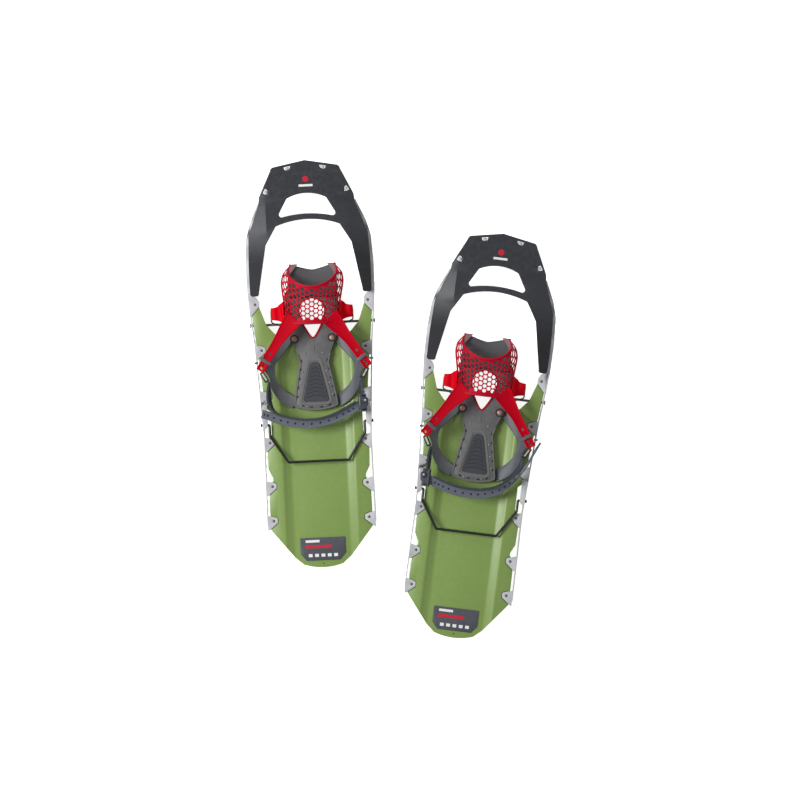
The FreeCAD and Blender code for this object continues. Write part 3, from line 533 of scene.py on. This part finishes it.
def make_net_trim(shoe):
    """The net's beads along its front and rear edges, and the rims of the keyhole and of the V behind it."""
    bm = bmesh.new()
    for edge, wide in ((1, 3.2), (0, 3.4)):
        angles = [math.radians(step) for step in range(-NET_REACH, NET_REACH + 1, 4)]
        path = [arch(shoe, angle, net_edges(angle)[edge], 1.2) for angle in angles]
        band(bm, path, [Vector((math.sin(angle), 0, math.cos(angle))) for angle in angles], wide, 2.6)
    foot = BASE_TOP + 0.05
    vee = [(-15.2, 65), (-13.6, 61), (-7.5, 50), (-2.6, 43.2), (0, 42)]
    vee += [(-x, y) for x, y in reversed(vee[:-1])]
    band(bm, smooth_path([Vector((x, y, foot)) for x, y in vee], 4), UP, 2.8, 1.4)
    turns = [math.radians(-42 + step * 264 / 40) for step in range(41)]
    ring = [Vector((KEYHOLE_RADIUS * math.cos(turn), KEYHOLE[1] + KEYHOLE_RADIUS * math.sin(turn), foot))
            for turn in turns]
    band(bm, ring, UP, 1.8, 1.2)
    add_piece(bm, shoe, "toe_net_trim", "binding", "red_elastomer", ["toe_net"], bevel=0.5)


def make_net_ears(shoe):
    """The bright ears at the net's sides, each wrapped round its wire loop, wider where it leaves the net."""
    knots = [(43.6, 83.4, 44, 34), (46.6, 82.6, 36.5, 31), (50, 82, 33.6, 27), (54, 81.7, 33.2, 22.5),
             (59, 81.6, 34, 20), (63.2, 81.5, 31.5, 19), (61.5, 81.5, 28.6, 19), (57, 81.5, 28.9, 19)]
    wide = smooth_values([width for _, _, _, width in knots], 5)
    bm = bmesh.new()
    for sign in (-1, 1):
        path = smooth_path([Vector((sign * x, y, z)) for x, y, z, _ in knots], 5)
        runs = [ahead_at(path, number) for number in range(len(path))]
        ups = [Vector((-ahead.z * sign, 0, ahead.x * sign)).normalized() for ahead in runs]
        band(bm, path, ups, wide, 1.5)
    add_piece(bm, shoe, "toe_net_ears", "binding", "bright_elastomer", ["toe_net"], bevel=0.5)


def make_net_gussets(shoe):
    """Reinforcing film inside the net's front tips, from its edge down to the toe plate's corners."""
    bm = bmesh.new()
    for sign in (-1, 1):
        rings = []
        for y, x0, z0, x1, z1 in ((138.5, 37, 44.6, 42, 44.6), (145, 33.4, 40.4, 40, 41.4),
                                  (151.5, 28.6, 37.6, 37, 38.6), (158.4, 22.4, 35.8, 32.4, 36.6)):
            shift = lean(shoe, y)
            rings.append([Vector((sign * x + shift, y, z)) for x, z in
                          ((x0, z0), (x1, z1), (x1, z1 + 1.1), (x0, z0 + 1.1))])
        loft(bm, rings)
    add_piece(bm, shoe, "toe_net_gussets", "binding", "blush_elastomer", ["toe_net"], bevel=0.3)


def wing_height(x):
    """Height of the harness wings' underside: low beside the base, then up around the boot."""
    return between([(30, 21), (42, 21.6), (60, 31), (76, 46.5), (88, 63)], x)[0]


# Outer and inner edge of a wing, as (x, y), at places from beside the toes round to the heel.
WING_EDGES = [((45, 64), (33, 56)), ((50, 58), (33, 42)), ((58, 47), (35.5, 34.5)), ((71, 28), (47, 19.5)),
              ((82, 11), (57, 8)), ((84.5, 3), (61.5, 1)), ((78.5, -8), (62.2, -9)), ((71, -20), (61, -19)),
              ((69.5, -36), (54, -33)), ((56, -57), (43, -43)), ((36, -70), (30, -51))]
# Section of a wing: the part of the way from its inner to its outer edge, and the height there.
WING_SECTION = [(0, 0.3), (0.06, 0), (0.5, 0), (0.94, 0), (1, 0.3), (1, 3.6), (0.93, 4.0), (0.86, 3.1),
                (0.5, 2.9), (0.14, 3.1), (0.07, 4.0), (0, 3.6)]


def make_harness(shoe):
    """Two wings that cup the boot, each one band that starts beside the toes and comes back at the heel."""
    outer, inner = (smooth_path([Vector((*pair[side], 0)) for pair in WING_EDGES], 3) for side in (0, 1))
    # The low-x wing takes a paler copy of the harness elastomer: painted light on the wing whose face turns from
    # the key lamp.
    for sign, label, finish in ((-1, "low_x", "wing_elastomer_painted_light"), (1, "high_x", "grey_elastomer")):
        bm = bmesh.new()
        rings = []
        for far, near in zip(outer, inner):
            places = [(near.lerp(far, part), lift) for part, lift in WING_SECTION]
            rings.append([Vector((sign * at.x, at.y, wing_height(at.x) + lift)) for at, lift in places])
        loft(bm, rings)
        add_piece(bm, shoe, f"harness_wing_{label}", "binding", finish, ["harness"], smooth=1)


def make_toe_plate(shoe):
    """The plate under the toes: two rounded tips at its front, and sides that turn up a little."""
    bm = bmesh.new()
    rings = []
    for step in range(15):
        part = step / 14 * 2 - 1
        x = part * 40
        bulge = 9.6 * max(0, 1 - abs(abs(part) - 0.84) / 0.84) ** 1.2
        tip = 150 + bulge - 14 * max(0, abs(part) - 0.86) / 0.14
        back = 104 if abs(x) > 8 else 106
        middle = (back + tip) / 2
        lift = 5 * part ** 2
        ring = [(back, 0.2), (middle, 0.6 + lift * 0.25), (tip, 1.4 + lift), (tip - 0.4, 4.0 + lift),
                (middle, 3.0 + lift * 0.25), (back, 2.6)]
        rings.append([Vector((x + lean(shoe, y), y, BASE_TOP + z)) for y, z in ring])
    loft(bm, rings)
    add_piece(bm, shoe, "toe_plate", "binding", "toe_grey", ["harness"], smooth=1)


def make_instep_straps(shoe):
    """The red straps from the net's rear corners over the wings to their pegs."""
    knots = [(27.5, 74, 58), (38.6, 60, 55.8), (55, 38, 57), (68, 19, 60), (78, 4, 63.2), (85, -7, 65)]
    widths = smooth_values((30, 24.5, 16, 14.5, 14, 14), 5)
    for label, sign in (("inner", shoe["inner"]), ("outer", -shoe["inner"])):
        path = smooth_path([Vector((sign * x, y, z)) for x, y, z in knots], 5)
        bm = bmesh.new()
        band(bm, path, Vector((0.12 * sign, 0.1, 1)).normalized(), widths, 2.0, rim=0.9)
        strap = add_piece(bm, shoe, f"{label}_instep_strap_moulded", "binding", "strap_elastomer",
                          [f"{label}_instep_strap"], bevel=0.45)
        punch_holes(strap, shoe, "strap_elastomer", 2.0, 14,
                    [(path[number] - UP * 6, UP) for number in (15, 18, 21, 23)])


# The heel strap's band on the left shoe, and on the right shoe as if it were a left one: x, y, the height of
# its underside, and how far it is tipped out, from 0 for flat to 1 for on edge.
HEEL_BAND = {
    "left": [(-86, -74, 51, 0.2), (-76, -77, 50.5, 0.2), (-56, -85.6, 50, 0.2), (-34, -91.2, 49.8, 0.2),
             (-8, -93, 49.8, 0.2), (19, -89, 49.8, 0.2), (42, -80, 50, 0.2), (58, -72, 50.5, 0.2),
             (69, -66.4, 51, 0.2)],
    "right": [(-97, 2.5, 50.5, 1), (-88.5, -17.5, 50.2, 1), (-81, -34, 49.8, 0.9), (-70.5, -50, 49.4, 0.75),
              (-57, -66, 49.4, 0.5), (-43, -79, 49.6, 0.3), (-22, -88, 49.8, 0.2), (0, -91, 49.8, 0.2),
              (25, -89.5, 49.8, 0.2), (45, -84.5, 50, 0.2), (58, -80, 50.2, 0.2), (69, -75.5, 50.5, 0.2)]}
# The strap's run on edge from the outer loop round the heel: x, y, the height of its foot, and how far its
# top stands out past its foot.
HEEL_RUN = {
    "left": [(-72.4, -24, 46, 0), (-73.2, -42, 46, 5), (-72.6, -58, 46.5, 5), (-65, -73, 47, 2),
             (-49, -80.6, 47, 0.5), (-24, -85.6, 47, 0), (0, -86, 47, 0), (22, -81.3, 47, 0),
             (44, -71.5, 47, 0), (62, -61.8, 47, 0)],
    "right": [(-72.4, -24, 46, 0), (-71.6, -38, 46, 3), (-65, -50, 46.5, 4), (-54, -63, 47, 3),
              (-40, -74, 47, 0.5), (-20, -81, 47, 0), (0, -83.4, 47, 0), (22, -82, 47, 0),
              (44, -77.5, 47, 0), (62, -71.5, 47, 0)]}
RUN_HALF, RUN_TALL = 1.6, 12                    # half the thickness of the run on edge, and its height


def outward(path, number, side):
    """The level direction away from the heel, square to a path at one of its points."""
    ahead = ahead_at(path, number)
    return Vector((ahead.y, -ahead.x, 0)).normalized() * side


def make_heel_strap(shoe):
    """The slate strap round the heel: a leaning band with a row of holes over a dark strip of painted shade, and
    its runs on edge to the wings' loops."""
    knots = HEEL_BAND[shoe["side"]]
    path = smooth_path(mirrored(shoe, [knot[:3] for knot in knots]), 6)
    ups = []
    for number, part in enumerate(smooth_values([knot[3] for knot in knots], 6)):
        turn = min(1.0, part) * math.pi / 2
        away = outward(path, number, shoe["inner"])
        ups.append((UP * math.cos(turn) + away * math.sin(turn)).normalized())
    bm = bmesh.new()
    band(bm, path, ups, 13.5, 2.0, rim=0.8)
    strap = add_piece(bm, shoe, "heel_strap_band", "binding", "slate_elastomer", ["heel_strap"], bevel=0.4)
    punch_holes(strap, shoe, "slate_elastomer", 1.7, 12,
                [(path[number] - ups[number] * 4, ups[number]) for number in range(3, len(path) - 4, 3)])
    # A dark strip just under the band: painted shade, seen through its holes.
    bm = bmesh.new()
    band(bm, [point - up * 0.9 for point, up in zip(path[2:-3], ups[2:-3])], ups[2:-3], 8, 0.8)
    inner_run = [(72.4, -24, 46, 0), (72.4, -38, 46, 4), (72, -50 - shoe["buckle_back"], 46, 4)]
    for run, facing in ((HEEL_RUN[shoe["side"]], 1), (inner_run, -1)):
        line = smooth_path(mirrored(shoe, [knot[:3] for knot in run]), 5)
        rings = []
        for number, spread in enumerate(smooth_values([knot[3] for knot in run], 5)):
            away = outward(line, number, shoe["inner"] * facing)
            tilt = max(0.0, spread) / 2
            rings.append([line[number] + away * across + UP * height for across, height in
                          ((-RUN_HALF - tilt, 0), (-RUN_HALF + tilt, RUN_TALL), (RUN_HALF + tilt, RUN_TALL),
                           (RUN_HALF - tilt, 0))])
        loft(bm, rings)
    add_piece(bm, shoe, "heel_strap_runs_and_shade_strip", "binding", "slate_plastic", ["heel_strap"], bevel=0.5)


def make_strap_fittings(shoe):
    """Bright tongues in the wings' wire loops, and the knurled boss on the buckle's lever with a bright pin at its
    centre, a painted highlight.
    """
    bm = bmesh.new()
    for sign in (-1, 1):
        near, far = Vector((sign * 82.2, -11.2, 50.6)), Vector((sign * 75.9, -22.2, 50.6))
        band(bm, smooth_path([near, (near + far) / 2 + UP * 0.5, far], 4), UP, 2.1, 1.0)
    add_piece(bm, shoe, "loop_tongues", "binding", "bare_steel", (), bevel=0.25)
    at = Vector((77.6 * shoe["inner"], -60 - shoe["buckle_back"], 57.6))
    bm = bmesh.new()
    disc(bm, at, 5.2, 1.6, taper=0.9, segments=36)
    disc(bm, at + UP * 1.5, 3.8, 0.9, taper=0.8, segments=28)
    for step in range(18):
        turn = math.radians(step * 20)
        disc(bm, at + Vector((5.0 * math.cos(turn), 5.0 * math.sin(turn), 0)), 0.55, 1.3, segments=6)
    add_piece(bm, shoe, "buckle_boss", "lever", "slate_plastic", (), bevel=0.25)
    # A bright steel disc at the boss's centre: painted highlight.
    bm = bmesh.new()
    disc(bm, at + UP * 2.4, 1.7, 0.5, taper=0.8)
    add_piece(bm, shoe, "buckle_boss_highlight_pin", "lever", "bare_steel", (), bevel=0.15)


def make_tread_pad(shoe):
    """The ribbed rubber insert: a tapered pad with bowed ribs across it."""
    bm = bmesh.new()
    outline = [(0, 4), (4, 3), (7, 0.5), (8.4, -3), (19.7, -54), (19, -57), (16.5, -58.4)]
    outline += [(-x, y) for x, y in reversed(outline[1:])]
    prism(bm, outline, ON_BASE, BASE_TOP + 1.5)
    section = ((-1.5, 0), (-1.2, 0.9), (0, 1.35), (1.2, 0.9), (1.5, 0))
    for number in range(8):
        y = -50 + number * 6.2
        half = 15.6 - number * 1.42
        path = [Vector((half * t, y - 3.4 * t * t + 1.6, BASE_TOP + 1.2)) for t in
                [step / 8 - 1 for step in range(17)]]
        loft(bm, [[point + Vector((0, dy, dz)) for dy, dz in section] for point in path])
    add_piece(bm, shoe, "tread_pad_ribbed", "binding", "dark_rubber", ["tread_pad"], bevel=0.35)


def make_base_details(shoe):
    """Raised border round the tongue, collar round the tread pad, small slots and rivet wells as dark blocks and
    discs of painted shade, and a plain bar.
    """
    bm = bmesh.new()
    half = [(25.5, 17), (22.4, 5), (22.6, -2), (33, -58), (31, -65), (24, -68), (12, -70.4), (0, -71)]
    border = half + [(-x, y) for x, y in reversed(half[:-1])]
    half = [(0, 8.4), (6.6, 7.2), (10.8, 1), (23, -53), (21.6, -60), (17, -62), (0, -62.4)]
    collar = half + [(-x, y) for x, y in reversed(half[1:-1])] + half[:1]
    for loop, wide, tall in ((border, 2.2, 1.1), (collar, 3.4, 0.8)):
        band(bm, smooth_path([Vector((x, y, ON_BASE)) for x, y in loop], 4), UP, wide, tall)
    prism(bm, oblong(-1.1, 1.1, 22, 31), ON_BASE, BASE_TOP + 0.8)
    add_piece(bm, shoe, "footbed_border", "binding", "border_grey", (), bevel=0.4)
    # Dark blocks for the slots and thin dark discs for the rivet wells: painted shade of hollows.
    bm = bmesh.new()
    for sign in (-1, 1):
        for x, y, turn in ((20.6, 6, 0.1), (22.4, -8, -0.2), (24.8, -22, -0.2), (27.2, -36, -0.2),
                           (29.4, -50, -0.2), (21, -64.5, 0.9), (8, -67.4, 1.4)):
            spot = Matrix.Translation((sign * x, y, BASE_TOP + 0.5)) @ Matrix.Rotation(sign * -turn, 4, "Z")
            bmesh.ops.create_cube(bm, size=1, matrix=spot @ Matrix.Diagonal((1.9, 4.2, 1.4, 1)))
        disc(bm, Vector((sign * 29.6, 40.8, ON_BASE)), 6.9, 0.35, segments=36)
    add_piece(bm, shoe, "footbed_slot_shades", "binding", "dark_hollow", (), bevel=0.3)


# The nose's upper face is part of a cylinder of this radius, which starts level at this place and height.
NOSE_RADIUS, NOSE_START, NOSE_BASE = 640, 100, 45


def on_nose(bm, y):
    """Turns flat marks drawn at height 0 about a place along the shoe, to lie on the nose's curve there."""
    rise = NOSE_BASE + NOSE_RADIUS - math.sqrt(NOSE_RADIUS ** 2 - (y - NOSE_START) ** 2)
    turn = Matrix.Rotation(math.asin((y - NOSE_START) / NOSE_RADIUS), 4, "X")
    bmesh.ops.transform(bm, matrix=Matrix.Translation((0, y, rise)) @ turn @ Matrix.Translation((0, -y, 0)),
                        verts=bm.verts)


def make_marks(shoe):
    """Plain marks: a dot and a bar on the nose, bars on the tail plate, and a dark disc of painted shade for a
    dimple behind the plate.
    """
    bm = bmesh.new()
    disc(bm, Vector((0, 290.6, -0.4)), 4.8, 0.75, segments=32)
    on_nose(bm, 290.6)
    add_piece(bm, shoe, "nose_dot", "frame", "badge_red", ())
    bm = bmesh.new()
    prism(bm, oblong(-11, 11, 278.8, 282.4), -0.4, 0.35)
    on_nose(bm, 280.6)
    add_piece(bm, shoe, "nose_bar", "frame", "badge_white", ())
    row = [oblong(x - 3, x + 3, -303.4, -298.6) for x in range(-20, 21, 10)]
    for finish, shapes in (("badge_white", [oblong(-27, -5, -280.5, -276.6)] + row),
                           ("badge_red", [oblong(-28, 14, -289.6, -284.8)])):
        bm = bmesh.new()
        for shape in shapes:
            prism(bm, shape, BADGE_TOP - 0.2, BADGE_TOP + 0.15)
        add_piece(bm, shoe, f"tail_{finish}", "frame", finish, ())
    # A darker green disc: painted shade of a small dimple in the deck.
    bm = bmesh.new()
    disc(bm, Vector((0, -313.6, 19.9)), 1.5, 0.3)
    add_piece(bm, shoe, "tail_dimple_shade", "frame", "deck_dimple", ())


# Hard parts to soften: node, body, finish, edge radius and the angle from which edges shade sharp.
SOFTENED = [("deck", "frame", "moss_plastic", 0.9, 40), ("nose", "frame", "charcoal_plastic", 1.1, 14),
            ("outer_rail", "frame", "bare_steel", 0.35, 40), ("inner_rail", "frame", "bare_steel", 0.35, 40),
            ("footbed", "binding", "grey_plastic", 0.9, 40), ("tail_badge", "frame", "badge_grey", 0.3, 40),
            ("buckle_frame", "binding", "slate_plastic", 0.5, 40),
            ("buckle_lever", "lever", "slate_plastic", 0.6, 40),
            ("strap_keepers", "binding", "grey_elastomer", 0.5, 40),
            ("heel_strap_loops", "binding", "black_wire", 0.5, 40)]
MAKERS = (make_toe_net, make_net_trim, make_net_ears, make_net_gussets, make_harness, make_toe_plate,
          make_instep_straps, make_heel_strap, make_strap_fittings, make_tread_pad, make_base_details,
          make_marks)

for shoe in SHOES:
    for row in SOFTENED:
        softened(shoe, *row)
    for make in MAKERS:
        make(shoe)

# Hard parts whose finish isn't the one their slot is named after, by the end of the node's name.
OWN_FINISH = {"footbed_studs": "dull_stud", "_axle": "dark_rivet", "strap_pegs": "dark_rivet",
              "axle_caps": "dull_stud"}
SLOTS = {row["node"]: row["material_slot"] for row in frame["record"]["subparts"]}
for name, node in frame["nodes"].items():
    node.data.materials.clear()
    own = [finish for ending, finish in OWN_FINISH.items() if name.endswith(ending)]
    node.data.materials.append(FINISH[own[0] if own else SLOTS[name]])


# ---------------------------------------------------------------- floor, light and camera

FLOOR_GLOW = 0.75
SKY = 0.31
# Name, place, size and power of each lamp; all of them look at the middle of the pair.
LAMPS = [("key", (-1.9, 0.25, 2.0), 1.1, 72), ("fill", (1.7, -0.6, 2.0), 1.6, 4),
         ("top", (0.2, 1.6, 1.6), 1.2, 4)]
VIEW_MIDDLE = (-0.00102, -0.00027)
VIEW_SPAN = 1.2595                              # metres across the picture, at the height of the decks
DECK_HEIGHT = 0.027
LENS, SENSOR = 300.0, 36.0


def make_stage():
    bm = bmesh.new()
    bmesh.ops.create_grid(bm, x_segments=1, y_segments=1, size=6)
    floor = as_object(bm, "floor", Matrix.Identity(4))
    pale = bpy.data.materials.new("Pale floor")
    pale.use_nodes = True
    shader = pale.node_tree.nodes["Principled BSDF"]
    shader.inputs["Base Color"].default_value = (0.93, 0.93, 0.93, 1)
    shader.inputs["Roughness"].default_value = 0.9
    shader.inputs["Emission Color"].default_value = (1, 1, 1, 1)
    shader.inputs["Emission Strength"].default_value = FLOOR_GLOW
    floor.data.materials.append(pale)
    world = bpy.data.worlds.new("Studio")
    world.use_nodes = True
    world.node_tree.nodes["Background"].inputs["Color"].default_value = (1, 1, 1, 1)
    world.node_tree.nodes["Background"].inputs["Strength"].default_value = SKY
    bpy.context.scene.world = world
    for name, spot, size, power in LAMPS:
        light = bpy.data.lights.new(name, "AREA")
        light.energy = power
        light.size = size
        lamp = bpy.data.objects.new(name, light)
        lamp.location = spot
        lamp.rotation_euler = (Vector((0, 0, 0)) - Vector(spot)).to_track_quat("-Z", "Y").to_euler()
        bpy.context.scene.collection.objects.link(lamp)


def make_camera():
    """Straight above the pair, toes up, from far enough that the two shoes show no perspective."""
    data = bpy.data.cameras.new("camera")
    data.lens = LENS
    data.sensor_width = SENSOR
    camera = bpy.data.objects.new("camera", data)
    camera.location = (*VIEW_MIDDLE, DECK_HEIGHT + VIEW_SPAN * LENS / SENSOR)
    bpy.context.scene.collection.objects.link(camera)
    bpy.context.scene.camera = camera


make_stage()
make_camera()
bpy.context.scene.view_settings.view_transform = "Standard"
